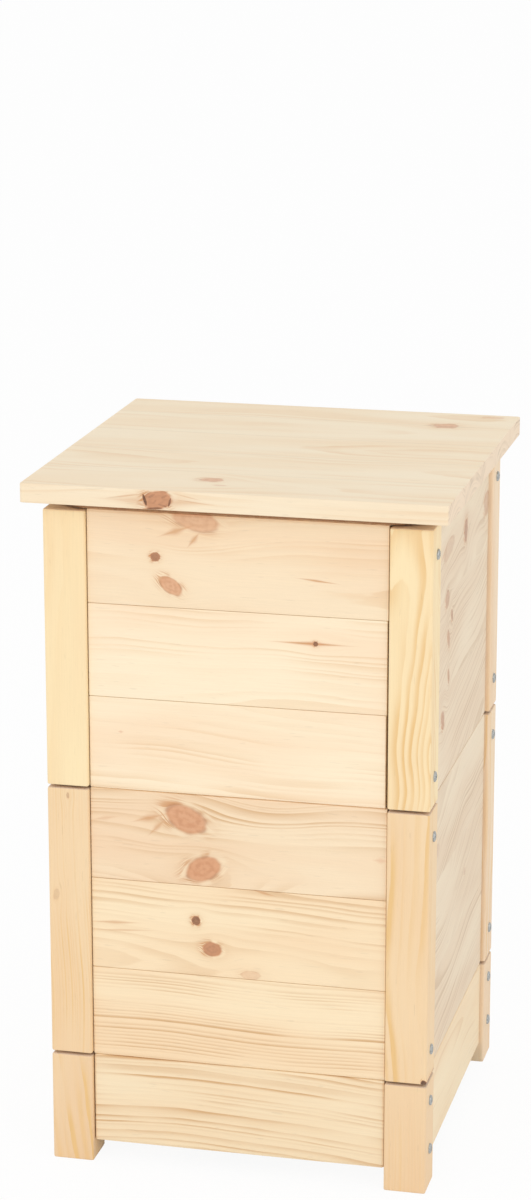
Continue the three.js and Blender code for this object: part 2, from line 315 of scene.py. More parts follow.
def make_figure_group():
    """Growth rings round a pith that wanders along the board, with its fibres and tone."""
    inputs = dict.fromkeys(("Along", "Across", "Deep", "Seed", "Pith Across", "Lean"), 0.0)
    sizes = {"Pith Deep": -0.08, "Ring": 0.004, "Wander": 0.01, "Swing": 3.2}
    group, given = start_group("pine figure", {**inputs, **sizes})
    along, across, deep, seed = (given[label] for label in ("Along", "Across", "Deep", "Seed"))

    def drawn_out(fineness):
        """A place in wood that is drawn out along the grain."""
        return point(along * fineness[0], across * fineness[1], deep * fineness[1] + seed)

    swing = cloud(point(along * given["Swing"], seed, 0.0), detail=1.0) - 0.5
    swing_deep = cloud(point(along * 2.3, seed, 4.0), detail=1.0) - 0.5
    drift = swing * given["Wander"] + along * given["Lean"]
    x = across - (given["Pith Across"] + drift)
    y = deep - (given["Pith Deep"] + swing_deep * given["Wander"])
    rough = cloud(drawn_out(ROUGH_RINGS), detail=3.0, roughness=0.55) - 0.5
    radius = calc("SQRT", x * x + y * y) + rough * (given["Ring"] * 0.75)
    uneven = cloud(point(radius * 75.0, seed, 9.0), detail=1.0)
    phase = radius / given["Ring"] + uneven * 3.2
    number = calc("FLOOR", phase)
    share = phase - number
    late = ramp(share, 0.25, 0.9) * ramp(share, 1.0, 0.93)
    chance = field(group, "ShaderNodeTexWhiteNoise", {"Vector": point(number, seed, 0.0)}, "Value")
    fade = ramp(cloud(drawn_out(PATCHES), detail=1.0), 0.34, 0.64, 0.12, 1.25)
    outputs = {
        "Late": late * (chance * 0.85 + 0.15) * fade,
        "Fibre": cloud(drawn_out(FIBRE_LINES), roughness=0.6),
        "Tone": cloud(drawn_out(WARM_PATCHES)),
        "Streak": ramp(cloud(drawn_out(RESIN_STREAKS), detail=0.0), 0.74, 0.86),
    }
    return end_group(group, outputs)


FIGURE_MASKS = ("Late", "Fibre", "Tone", "Streak")
KNOT_MASKS = ("Core", "Rim", "Halo", "Pale", "Flare")
WOOD_PARTS = ("early", "warm", "late", "knot", "rim", "flare", "end")


def make_wood_colour_group():
    """The colour, roughness and height of planed pine, from what its figure says."""
    inputs = dict.fromkeys((*FIGURE_MASKS, *KNOT_MASKS, "Golden", "Rings", "Seam", "End"), 0.0)
    colours = dict.fromkeys((f"{part} colour" for part in WOOD_PARTS), WHITE)
    group, given = start_group("pine colour", {**inputs, "Contrast": 1.0, **colours})
    late = calc("MULTIPLY", given["Late"], given["Contrast"], clamp=True)
    late = late + late * given["Pale"] * -0.8
    core = given["Core"] * (given["Rings"] * 0.16 + 0.86)
    layers = (
        (late, "late"),
        (given["Halo"] * 0.28, "late"),
        (given["Pale"] * 0.6, "early"),
        (calc("MAXIMUM", given["Flare"] * 0.9, given["Golden"]), "flare"),
        (calc("MINIMUM", core, 1.0), "knot"),
        (given["Rim"] * 0.5, "rim"),
        (given["End"] * 0.9, "end"),
    )
    colour = blend(ramp(given["Tone"], 0.3, 0.7), given["early colour"], given["warm colour"])
    for share, part in layers:
        colour = blend(share, colour, given[f"{part} colour"])
    shade = given["Fibre"] * 0.09 + 0.955
    darkening = (
        (given["Rings"] * given["Core"], 0.08),
        (calc("MAXIMUM", given["Core"] - 1.0, 0.0), 0.7),
        (given["Streak"], 0.07),
        (given["Seam"], 0.25),
        (given["End"] * (given["Late"] - 0.3), 0.22),
    )
    for mask, amount in darkening:
        shade = shade + mask * -amount
    grey = field(group, "ShaderNodeCombineColor", {0: shade, 1: shade, 2: shade})
    outputs = {
        "Colour": blend(1.0, colour, grey, kind="MULTIPLY"),
        "Roughness": given["Fibre"] * 0.16 + given["Core"] * -0.12 + given["End"] * 0.2 + 0.5,
        "Height": given["Fibre"] + given["Late"] * 0.5 + given["Seam"] * -2.0 + given["Rim"] * -0.6,
    }
    return end_group(group, outputs)


knot_group = make_knot_group()
strip_group = make_strip_group()
figure_group = make_figure_group()
wood_colour_group = make_wood_colour_group()

# Colours of the pine, as the photograph shows them
PINE = {
    "early": linear(255, 237, 206),
    "warm": linear(253, 227, 194),
    "late": linear(233, 194, 148),
    "knot": linear(220, 160, 120),
    "rim": linear(172, 112, 78),
    "flare": linear(212, 156, 108),
    "end": linear(226, 202, 177),
}
DARK_LATEWOOD = linear(218, 177, 130)
POST_LATEWOOD = linear(238, 198, 138)
BROWN_KNOT = linear(176, 132, 102)


def wood(early, warm, late, **others):
    """A wood like the pine, with its own early, warm and late colours."""
    return {**PINE, "early": linear(*early), "warm": linear(*warm), "late": late, **others}


LOWER_BOARDS = wood((253, 232, 196), (250, 222, 184), DARK_LATEWOOD)
BASE_BOARDS = wood((250, 231, 197), (247, 222, 185), DARK_LATEWOOD)
BOARDS = {"upper": PINE, "lower": LOWER_BOARDS, "base": BASE_BOARDS}
TOP_BOARDS = {
    "upper": wood((250, 228, 195), (246, 216, 181), PINE["late"]),
    "lower": wood((250, 228, 195), (246, 216, 181), DARK_LATEWOOD),
}
SIDE_PANELS = wood((242, 225, 198), (236, 214, 186), linear(210, 182, 150), knot=linear(206, 160, 126))
LID = wood((250, 234, 206), (248, 227, 195), PINE["late"], end=linear(238, 217, 192))
POSTS = {
    "upper_post": wood((253, 231, 186), (250, 223, 178), POST_LATEWOOD, knot=BROWN_KNOT),
    "lower_post": wood((246, 217, 176), (243, 209, 166), POST_LATEWOOD, knot=BROWN_KNOT),
    "base_leg": wood((244, 213, 172), (240, 206, 165), POST_LATEWOOD, knot=BROWN_KNOT),
}
PALE_POSTS = wood((247, 224, 193), (242, 214, 182), POST_LATEWOOD, knot=BROWN_KNOT)

# A knot: where it is along and across the piece, its half sizes, its turn, how dark it
# is and how far it bends the grain. It is round, or a streak with pointed ends, or a
# golden one: such a streak in the colour of the fibres round a knot. One on edge lies in
# the narrow faces beside the widest one.
Knot = namedtuple(
    "Knot",
    "along across length width turn strength pull shape on_edge",
    defaults=(0.0, 1.0, 1.0, "round", False),
)
# What a knot of each shape shows, and which of the knot group's masks it is
KNOT_SHOWS = {
    "round": {label: label for label in (*KNOT_MASKS, "Rings")},
    "streak": {"Core": "Soft"},
    "golden": {"Golden": "Soft"},
}
PLAIN_LOOK = {
    "seed": 0.0,
    "pith": (0.0, -0.08),
    "ring": 0.004,
    "wander": 0.02,
    "swing": 3.2,
    "lean": 0.0,
    "contrast": 0.6,
}
STRIP_CHANGE = 7.3  # how far one glued strip's figure is from the next one's
WOOD_RELIEF = 0.00025


def middle_of(name):
    low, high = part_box(name)
    return (low + high) / 2


def faces_along(normal, axis):
    """1 where a surface looks along an axis, either way."""
    return ramp(abs(calc_vector("DOT_PRODUCT", normal, axis, output="Value")), 0.7, 0.9)


def lay_knots(knots, here, axes, centre, normal):
    """Bends the grain round the knots, and gives the masks of what shows of them."""
    shown = dict.fromkeys((*KNOT_MASKS, "Golden", "Rings"), 0.0)
    bent = here["Across"]
    for knot in knots:
        over = "Deep" if knot.on_edge else "Across"
        place = {
            "Along": here["Along"],
            "Across": here[over],
            "Bent": bent,
            "Knot Along": knot.along - axes["Along"].dot(centre),
            "Knot Across": knot.across - axes[over].dot(centre),
            "Length": knot.length,
            "Width": knot.width,
            "Turn": knot.turn,
            "Pull": knot.pull,
            "Pointed": 0.0 if knot.shape == "round" else 1.0,
        }
        made = use_group(bent.tree, knot_group, place)
        strength = knot.strength
        if knot.on_edge:
            strength = faces_along(normal, axes["Across"]) * strength
        else:
            bent = made["Bent"]
        for label, source in KNOT_SHOWS[knot.shape].items():
            seen = made[source] if label == "Rings" else made[source] * strength
            shown[label] = calc("MAXIMUM", seen, shown[label])
    here["Across"] = bent
    return shown


def dress(name, along, across, look, knots=(), strips=None):
    """Makes one CAD node a piece of pine: its grain runs along one axis, and its widest
    face spreads across another. A knot lies in that face, or in the narrow one beside it
    where it is an edge knot."""
    look = {**PLAIN_LOOK, **look}
    centre = middle_of(name)
    material, surface, place, normal = start_material(name, 0.35)
    tree = place.tree
    axes = {"Along": AXES[along], "Across": AXES[across], "Deep": AXES[along].cross(AXES[across])}
    turn = Matrix(tuple(axes.values())).transposed().to_euler()
    inputs = {"Vector": place, "Location": centre, "Rotation": turn}
    mapped = field(tree, "ShaderNodeMapping", inputs, vector_type="TEXTURE")
    parts = add(tree, "ShaderNodeSeparateXYZ", {0: mapped}).outputs
    here = {label: Field(tree, part) for label, part in zip(axes, parts)}
    shown = lay_knots(knots, here, axes, centre, normal)
    seed = look["seed"]
    if strips:
        inputs = {"Across": here["Across"], "Width": strips["width"], "Start": strips["start"]}
        strip = use_group(tree, strip_group, inputs)
        here["Across"] = strip["Across"]
        shown["Seam"] = strip["Seam"] * strips["seam"]
        seed = strip["Number"] * STRIP_CHANGE + seed
    inputs = {"Seed": seed, "Pith Across": look["pith"][0], "Pith Deep": look["pith"][1]}
    inputs.update({label.capitalize(): look[label] for label in ("ring", "wander", "swing", "lean")})
    figure = use_group(tree, figure_group, {**here, **inputs})
    inputs = {label: figure[label] for label in FIGURE_MASKS}
    inputs.update({**shown, "End": faces_along(normal, axes["Along"]), "Contrast": look["contrast"]})
    inputs.update({f"{part} colour": look["wood"][part] for part in WOOD_PARTS})
    made = use_group(tree, wood_colour_group, inputs)
    cover(surface, made["Colour"], made["Roughness"], made["Height"], WOOD_RELIEF, 0.7)
    node = nodes[name]
    if not node.material_slots:
        node.data.materials.append(material)
    for holder in node.material_slots:
        holder.material = material


BOX_FLOORS = {box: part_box(f"{box}_floor_cleat_left")[0].z for box in ("lower", "upper")}

# Knots in the front boards: along, height in the box, half length, half width, turn,
# strength and pull on the grain. Millimetres here, as they were measured.
FRONT_KNOTS = {
    "upper_front_board_top": [
        (-84, 248, 5, 4.6, 0.0, 1.45, 0.9),
        (-68, 219, 13, 7.5, -0.62, 0.85, 1.0),
        (-42, 288, 24, 11, -0.2, 0.62, 1.0),
        (-62, 276, 22, 5, 0.35, 0.7, 0.5, "golden"),
        (-44, 268, 12, 4, 0.9, 0.7, 0.3, "golden"),
        (82, 233, 26, 1.6, -0.09, 0.9, 0.2, "golden"),
    ],
    "upper_front_board_middle": [
        (75, 168, 48, 2.6, 0.0, 1.0, 0.6, "golden"),
        (80, 168, 12, 4.6, 0.0, 0.5, 1.0, "streak"),
        (81, 168, 2.6, 2.5, 0.0, 1.75, 0.3),
    ],
    "upper_front_board_bottom": [(-122, 62, 4, 2, 0.0, 0.5, 0.4, "streak")],
    "lower_front_board_top": [
        (-54, 267, 22, 13.5, -0.38, 0.95, 1.0),
        (-36, 215, 19, 12.5, 0.42, 1.0, 1.0),
        (-140, 262, 18, 3, 0.2, 0.35, 0.6, "golden"),
        (-92, 266, 22, 5, 0.3, 0.7, 0.4, "golden"),
        (-84, 257, 16, 4, 0.8, 0.6, 0.4, "golden"),
        (149, 239, 9, 4, 0.0, 0.4, 0.8, "streak"),
    ],
    "lower_front_board_middle": [
        (-44, 158, 4.6, 4.8, 0.0, 1.7, 0.9),
        (-27, 128, 10, 7.5, -0.2, 1.25, 1.0),
        (14, 103, 10, 5, 0.0, 0.3, 1.0),
        (28, 194, 16, 2, -0.2, 0.7, 0.8, "golden"),
        (-130, 149, 34, 2.4, 0.05, 0.6, 0.2, "golden"),
        (-122, 141, 40, 1.6, 0.07, 0.5, 0.2, "golden"),
    ],
}


def figure_look(ring, pith, wander, contrast, **others):
    return {"ring": ring, "pith": pith, "wander": wander, "contrast": contrast, **others}


# What a front board's figure is like: ring width, where its pith lies, how far that
# wanders, and how strong it is
FRONT_LOOKS = {
    "upper_front_board_top": figure_look(0.0062, (-0.03, 0.05), 0.05, 0.5),
    "upper_front_board_middle": figure_look(0.0075, (-0.055, 0.04), 0.06, 0.42),
    "upper_front_board_bottom": figure_look(0.007, (0.06, 0.05), 0.06, 0.5),
    "lower_front_board_top": figure_look(0.0044, (-0.035, 0.05), 0.06, 0.85),
    "lower_front_board_middle": figure_look(0.0056, (-0.045, 0.05), 0.06, 0.65),
    "lower_front_board_bottom": figure_look(0.0042, (0.1, 0.02), 0.04, 0.85),
    "base_board_front": figure_look(0.0062, (-0.075, 0.03), 0.05, 1.1),
}
# Ranges for a made-up figure: ring width, where its pith lies across and deep, how far that
# wanders, and contrast
BOARD_RANGES = ((0.0045, 0.007), (-0.07, 0.07), (0.03, 0.07), (0.04, 0.06), (0.4, 0.7))
POST_RANGES = ((0.004, 0.009), (-0.06, 0.06), (0.03, 0.07), (0.03, 0.08), (0.5, 0.8))
KNOT_REACH = 0.13  # how far from a board's middle its made-up knots may be
KNOT_MARGIN = 0.02  # how far they stay from its long edges
KNOT_SIZES = (0.004, 0.012)
KNOT_TURNS = (-0.5, 0.5)
KNOT_STRENGTHS = (0.5, 0.9)


def knots_of(places, floor, **others):
    """Knots written in millimetres over a floor, as metres in the frame."""
    made = []
    for at, over, length, width, *rest in places:
        sizes = [value * MILLIMETRE for value in (at, over, length, width)]
        sizes[1] += floor
        made.append(Knot(*sizes, *rest, **others))
    return made


def any_figure(chance, ranges):
    ring, across, deep, wander, contrast = (chance.uniform(*span) for span in ranges)
    return figure_look(ring, (across, deep), wander, contrast)


def any_board(chance, name):
    """A figure and one or two knots for a board that the photograph doesn't show."""
    seed = chance.uniform(20, 90)
    look = any_figure(chance, BOARD_RANGES)
    low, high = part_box(name)
    knots = []
    for _ in range(chance.choice((1, 1, 2))):
        at = chance.uniform(-KNOT_REACH, KNOT_REACH)
        over = chance.uniform(low.z + KNOT_MARGIN, high.z - KNOT_MARGIN)
        size = chance.uniform(*KNOT_SIZES)
        turn = chance.uniform(*KNOT_TURNS)
        knots.append(Knot(at, over, size * 1.3, size, turn, chance.uniform(*KNOT_STRENGTHS)))
    return {"wood": BOARDS[name.split("_")[0]], "seed": seed, **look}, knots


def dress_front_and_back():
    for box, floor in BOX_FLOORS.items():
        for count, level in enumerate(LEVELS):
            name = f"{box}_front_board_{level}"
            kinds = TOP_BOARDS if level == "top" else BOARDS
            look = {"wood": kinds[box], "seed": 11.0 + count * 3 + floor * 40, **FRONT_LOOKS[name]}
            dress(name, "X", "Z", look, knots_of(FRONT_KNOTS.get(name, []), floor))
    name = "base_board_front"
    dress(name, "X", "Z", {"wood": BASE_BOARDS, "seed": 3.7, **FRONT_LOOKS[name]})
    chance = random.Random(5)
    names = [f"{box}_back_board_{level}" for box in BOX_FLOORS for level in LEVELS]
    for name in (*names, "base_board_back"):
        dress(name, "X", "Z", *any_board(chance, name))


# Knots and patches in the right panels: along, height in the box and so on
PANEL_KNOTS = {
    "upper_side_panel_right": [
        (14, 241, 9, 12, 0.0, 1.15, 1.0),
        (142, 241, 15, 13, 0.0, 0.55, 1.0),
        (-85, 246, 30, 9, 0.1, 0.35, 1.0),
        (-90, 194, 10, 9, 0.0, 0.75, 1.0),
        (-62, 170, 4, 7, 0.4, 1.15, 0.8),
        (-80, 150, 5, 11, 0.5, 0.85, 0.8),
        (-77, 109, 4, 8, 0.3, 1.0, 0.9),
        (-107, 70, 7, 11, 0.4, 1.0, 0.9),
    ],
    "lower_side_panel_right": [(-127, 230, 12, 7, 0.0, 0.2), (40, 150, 5, 4, 0.0, 0.35)],
}
PANEL_STRIPS = 3
PANEL_LOOK = {"ring": 0.005, "wander": 0.06, "contrast": 0.6, "swing": 5.0, "lean": 0.15}
BASE_SIDE_CONTRAST = 0.4  # how much of its figure's contrast a side board of the base keeps


def dress_sides():
    chance = random.Random(8)
    for box, floor in BOX_FLOORS.items():
        for side in ("left", "right"):
            name = f"{box}_side_panel_{side}"
            low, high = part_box(name)
            height = high.z - low.z
            strips = {"width": height / PANEL_STRIPS, "start": -height / 2, "seam": 0.12}
            look, knots = any_board(chance, name)
            if name in PANEL_KNOTS:
                knots = knots_of(PANEL_KNOTS[name], floor)
            dress(name, "Y", "Z", {**look, **PANEL_LOOK, "wood": SIDE_PANELS}, knots, strips)
    for side in ("left", "right"):
        name = f"base_board_{side}"
        look, _ = any_board(chance, name)
        look["contrast"] *= BASE_SIDE_CONTRAST
        dress(name, "Y", "Z", look)


# What a front post's figure is like
POST_LOOKS = {
    "upper_post_front_left": figure_look(0.009, (0.02, 0.07), 0.02, 0.45),
    "upper_post_front_right": figure_look(0.0046, (-0.02, 0.026), 0.045, 0.95, swing=7.0, lean=0.11),
    "lower_post_front_left": figure_look(0.0028, (0.09, 0.03), 0.03, 0.9),
    "lower_post_front_right": figure_look(0.0065, (0.045, 0.04), 0.04, 1.05),
    "base_leg_front_left": figure_look(0.0075, (0.04, 0.03), 0.05, 1.5, lean=-0.16),
    "base_leg_front_right": figure_look(0.003, (-0.09, 0.02), 0.03, 0.45),
}
POST_KNOTS = {
    "lower_post_front_left": [
        Knot(0.296, -0.192, 0.006, 0.003, 0.2, 0.25),
        Knot(0.405, -0.178, 0.003, 0.0015, 0.0, 0.5),
    ],
    "lower_post_front_right": [Knot(0.1225, 0.197, 0.004, 0.003, 0.0, 1.8)],
}


def dress_posts():
    chance = random.Random(3)
    for kind, usual in POSTS.items():
        for corner in CORNERS:
            name = f"{kind}_{corner}"
            look = {**any_figure(chance, POST_RANGES), **POST_LOOKS.get(name, {})}
            look["wood"] = PALE_POSTS if corner == "back_right" else usual
            look["seed"] = chance.uniform(0, 50)
            dress(name, "Z", "X", look, POST_KNOTS.get(name, []))


LATH_AXES = {"slat": ("X", "Y"), "cleat": ("Y", "X"), "bearer": ("Y", "X"), "batten": ("Z", "X")}
LATH_CHANGE = 90  # how much a lath's figure changes with its place along Y, in seeds a metre


def dress_laths():
    """Sawn laths of the floors, cleats, bearers and corner battens."""
    for name in sorted(nodes):
        for kind, axes in LATH_AXES.items():
            if kind in name:
                seed = len(name) + middle_of(name).y * LATH_CHANGE
                dress(name, *axes, {"wood": PINE, "seed": seed, "contrast": 0.7})


# The lid's strips, glued up edge to edge, from the front edge
LID_STRIP = 0.0925
LID_PLANED = 0.003  # how much of the first strip's width was planed off
LID_KNOTS = [
    (-34, -160, 12, 8, 0.0, 0.75, 0.9),
    (-20, -182, 6, 2.5, 0.0, 0.3, 0.9),
    (148, 150, 13, 11, 0.0, 0.7, 0.9),
    (190, 205, 12, 6, 0.0, 0.3, 0.9),
]
# In its long edge faces: golden fibres, and the big knot in them with its dark cracks
LID_EDGE_FIBRES = [
    (-76, 9, 64, 12, 0.0, 0.45),
    (-106, 13, 30, 1.6, 0.16, 0.6),
    (-104, 7, 26, 1.2, -0.1, 0.45),
    (-40, 10, 32, 1.3, -0.1, 0.6),
    (-45, 15, 22, 1.1, -0.2, 0.45),
]
LID_EDGE_KNOTS = [
    (-75, 10.2, 14.5, 9.4, 0.15, 1.16),
    (-88, 9.5, 1.5, 6, 0.3, 1.9),
    (-62.5, 8.5, 1.1, 4.5, -0.25, 1.7),
    (-78, 1.6, 8, 1.3, 0.1, 1.6),
    (-81, 14, 3.6, 1.2, 0.5, 1.4),
    (-70, 5, 4.6, 1.0, -0.3, 1.35),
    (-68, 14, 3.2, 0.9, 0.4, 1.3),
    (-78, 8, 2.2, 1.0, 0.9, 1.3),
]


def dress_lid():
    low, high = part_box("lid")
    look = {"wood": LID, "seed": 6.0, **figure_look(0.007, (0.0, -0.06), 0.05, 0.4)}
    strips = {"width": LID_STRIP, "start": (low.y - high.y) / 2 - LID_PLANED, "seam": 0.55}
    knots = knots_of(LID_KNOTS, 0.0)
    knots += knots_of(LID_EDGE_FIBRES, low.z, shape="golden", on_edge=True)
    knots += knots_of(LID_EDGE_KNOTS, low.z, on_edge=True)
    dress("lid", "X", "Y", look, knots, strips)


dress_front_and_back()
dress_sides()
dress_posts()
dress_laths()
dress_lid()


# Light: a white surround, and two wide soft lamps from the front

AMBIENT = 0.82
# Each lamp: where it stands and its power. All are wide discs aimed at the same place.
LAMPS = {"key": ((-2.0, -3.4, 2.3), 24.0), "fill": ((3.3, -2.2, 2.2), 23.0)}
LAMP_AIM = Vector((0, 0, 0.35))
LAMP_SIZE = 2.4


def seen_directly(tree):
    """1 for the rays that show what lies behind the object: from the camera, and in what
    is clear or shines."""
    path = fields(tree, add(tree, "ShaderNodeLightPath").outputs)
    seen = calc("MAXIMUM", path["Is Camera Ray"], path["Is Transmission Ray"])
    return calc("MAXIMUM", seen, path["Is Glossy Ray"])


def add_light():
    world = bpy.data.worlds.new("studio")
    world.use_nodes = True
    bpy.context.scene.world = world
    tree = world.node_tree
    background = tree.nodes["Background"].inputs
    join(seen_directly(tree) * (1 - AMBIENT) + AMBIENT, background["Strength"])
    background["Color"].default_value = WHITE
    for name, (place, power) in LAMPS.items():
        lamp = bpy.data.lights.new(name, "AREA")
        lamp.shape = "DISK"
        lamp.size = LAMP_SIZE
        lamp.energy = power
        light = bpy.data.objects.new(name, lamp)
        light.location = place
        light.rotation_euler = (LAMP_AIM - Vector(place)).to_track_quat("-Z", "Y").to_euler()
        bpy.context.scene.collection.objects.link(light)


FLOOR_SIZE = 60.0
FLOOR_SHOWN = 0.93  # how much of the floor's colour is plain white to the camera
FLOOR_GREY = (0.95, 0.95, 0.95, 1)


def add_floor():
    bm = bmesh.new()
    bmesh.ops.create_grid(bm, x_segments=1, y_segments=1, size=FLOOR_SIZE)
    floor = put_object(bm, "floor")
    material = bpy.data.materials.new("floor")
    material.use_nodes = True
    tree = material.node_tree
    tree.nodes.clear()
    white = field(tree, "ShaderNodeEmission", {"Color": WHITE, "Strength": 1.0})
    lit = field(tree, "ShaderNodeBsdfDiffuse", {"Color": FLOOR_GREY})
    share = seen_directly(tree) * FLOOR_SHOWN
    mixed = field(tree, "ShaderNodeMixShader", {0: share, 1: lit, 2: white})
    add(tree, "ShaderNodeOutputMaterial", {"Surface": mixed})
    floor.data.materials.append(material)


# New pieces


def put_object(bm, name):
    """Turns a bmesh into an object of the scene."""
    mesh = bpy.data.meshes.new(name)
    bm.to_mesh(mesh)
    bm.free()
    made = bpy.data.objects.new(name, mesh)
    bpy.context.scene.collection.objects.link(made)
    return made


def finish_piece(piece, body, material, smooth=True):
    """Gives a piece its finish and the body that it rides on."""
    for face in piece.data.polygons:
        face.use_smooth = smooth
    piece.data.materials.append(material)
    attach(piece, body)


def verts_of(made):
    return [part for part in made["geom"] if isinstance(part, bmesh.types.BMVert)]


def draw_out(bm, edges):
    """Extrudes a ring of open edges: the new ring's open edges, and its corners."""
    made = bmesh.ops.extrude_edge_only(bm, edges=edges)
    drawn = [part for part in made["geom"] if isinstance(part, bmesh.types.BMEdge)]
    return [edge for edge in drawn if edge.is_boundary], verts_of(made)


add_light()
add_floor()
bpy.context.scene.view_settings.view_transform = "Standard"


# The moulded tray

TRAY_WALL = 0.0022
TRAY_RADIUS = 0.022  # of the rim's corners
TRAY_TIGHTENING = 0.7  # how fast the corners tighten towards the floor
TRAY_LEAST_RADIUS = 0.0015
TRAY_RIM = 0.008
TRAY_DRAFT = 0.010
TRAY_FILLET = 0.013
TRAY_LIP = 0.009
TRAY_ROUND = 0.003
TRAY_CORNER_STEPS = 10
TRAY_ROUND_STEPS = 6
HOLD = 0.0012  # how near to a bend a flat stretch gets its holding ring
DOWN, OUT, UP, IN = range(-1, 3)  # directions in a section of the rim, in quarter turns


def quarter_round(inset, z, radius, start, end):
    """Points round a centre, from one direction to another."""
    points = []
    for step in range(TRAY_ROUND_STEPS + 1):
        angle = (start + (end - start) * step / TRAY_ROUND_STEPS) * QUARTER
        points.append((inset - radius * math.cos(angle), z + radius * math.sin(angle)))
    return points


def held(a, b):
    """Two points on the way from a to b, each near an end."""
    way = Vector(b) - Vector(a)
    step = way.normalized() * HOLD
    return [tuple(Vector(a) + step), tuple(Vector(b) - step)]


def tray_profile(height):
    """The tray's section from its floor to its lip: how far in from the rim, how high."""
    floor_edge = TRAY_RIM + TRAY_DRAFT + TRAY_FILLET
    over = TRAY_FILLET - TRAY_WALL
    fillet = quarter_round(floor_edge, TRAY_WALL + over, over, DOWN, OUT)
    inner = quarter_round(TRAY_RIM + TRAY_WALL - TRAY_ROUND, height - TRAY_ROUND, TRAY_ROUND, IN, UP)
    outer = quarter_round(TRAY_ROUND, height - TRAY_ROUND, TRAY_ROUND, UP, OUT)
    foot = (0.0, height - TRAY_LIP)
    start = [(floor_edge + HOLD, TRAY_WALL)]
    return start + fillet + held(fillet[-1], inner[0]) + inner + outer + held(outer[-1], foot) + [foot]


def corner_radius(inset):
    return max(TRAY_RADIUS - inset * TRAY_TIGHTENING, TRAY_LEAST_RADIUS)


def move_in_ring(place, size, inset, next_inset, z):
    """Where a point of one ring of the tray lies in the next one."""
    moved = []
    radius = corner_radius(inset)
    next_radius = corner_radius(next_inset)
    for value, whole in zip(place, size):
        centre = whole / 2 - inset - radius
        share = (abs(value) - centre) / radius
        next_centre = whole / 2 - next_inset - next_radius
        moved.append(math.copysign(next_centre + share * next_radius, value))
    return Vector((*moved, z))


def add_tray():
    low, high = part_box("drip_tray")
    size = high - low
    profile = tray_profile(size.z)
    inset = profile[0][0]
    bm = bmesh.new()
    bmesh.ops.create_grid(bm, x_segments=1, y_segments=1, size=1)
    for vert in bm.verts:
        vert.co.x *= size.x / 2 - inset
        vert.co.y *= size.y / 2 - inset
        vert.co.z = TRAY_WALL
    bmesh.ops.bevel(
        bm,
        geom=bm.verts[:],
        offset=corner_radius(inset),
        offset_type="OFFSET",
        segments=TRAY_CORNER_STEPS,
        profile=0.5,
        affect="VERTICES",
        material=-1,
    )
    outline = bm.edges[:]
    for next_inset, z in profile[1:]:
        outline, ring = draw_out(bm, outline)
        for vert in ring:
            vert.co = move_in_ring(vert.co.xy, size.xy, inset, next_inset, z)
        inset = next_inset
    bmesh.ops.recalc_face_normals(bm, faces=bm.faces[:])
    if max(bm.faces, key=lambda face: face.calc_area()).normal.z < 0:
        bmesh.ops.reverse_faces(bm, faces=bm.faces[:])
    centre = (low + high) / 2
    bmesh.ops.translate(bm, vec=Vector((centre.x, centre.y, low.z)), verts=bm.verts[:])
    tray = put_object(bm, "moulded_tray")
    finish_piece(tray, "tray", lime_plastic())
    wall = tray.modifiers.new("wall", "SOLIDIFY")
    wall.thickness = TRAY_WALL
    wall.offset = -1.0
    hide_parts("drip_tray")


LIME = linear(212, 253, 84)
LIME_DEEP = linear(205, 251, 68)
SCUFF_DRAW = (60, 420, 90)  # scuffs run along X


def lime_plastic():
    """Glossy moulded plastic, a little worn where things slide over it."""
    material, surface, place, _ = start_material("lime_plastic")
    broad = cloud(place, 7.0, detail=3.0)
    colour = blend(ramp(broad, 0.3, 0.7), LIME, LIME_DEEP)
    scuffs = ramp(cloud(scaled(place, SCUFF_DRAW)), 0.62, 0.8)
    roughness = scuffs * 0.04 + 0.2 + broad * 0.06
    cover(surface, colour, roughness, cloud(place, 1300.0, detail=1.0), 0.00004, 0.5)
    return material


add_tray()


# The coir mat: a pressed felt of fibres, with loose ones on top

MAT_RADIUS = 0.040
MAT_STEPS = 110
MAT_SIDE_CUTS = 3
MAT_EASE = 0.0018  # how far its edges are rounded off
MAT_SIDE = 0.3  # a surface belongs to the sides if it leans outwards this much
MAT_ROUGHNESS = 0.0007  # how far the felt's surface rises and falls
MAT_LUMPS = ((120, 0.6), (420, 0.4))  # how fine the lumps are, and their share of the height
FIBRES = 2400
FIBRE_BATCH = 100
FIBRE_BENDS = 4
FIBRE_SIZE = 0.00042
FIBRE_LENGTHS = (0.008, 0.026)
FIBRE_THICKNESSES = (0.4, 0.95)  # as shares of FIBRE_SIZE
FIBRE_BEND = 0.3  # how far a fibre's middle may be off its line, as a share of its length
FIBRE_LIFTS = (-0.5, 0.9)
FIBRE_WAVE = 0.0004


def rounded(x, y):
    """Moves a point of a square from -1 to 1 into the circle in it."""
    return x * math.sqrt(1 - y * y / 2), y * math.sqrt(1 - x * x / 2)


def round_corner(x, y, half_x, half_y, radius):
    """Moves a point of a rectangle so that the rectangle's corners become round."""
    u = (abs(x) - half_x + radius) / radius
    v = (abs(y) - half_y + radius) / radius
    if u <= 0 or v <= 0:
        return x, y
    across, over = rounded(u, v)
    x = math.copysign(half_x - radius + across * radius, x)
    y = math.copysign(half_y - radius + over * radius, y)
    return x, y


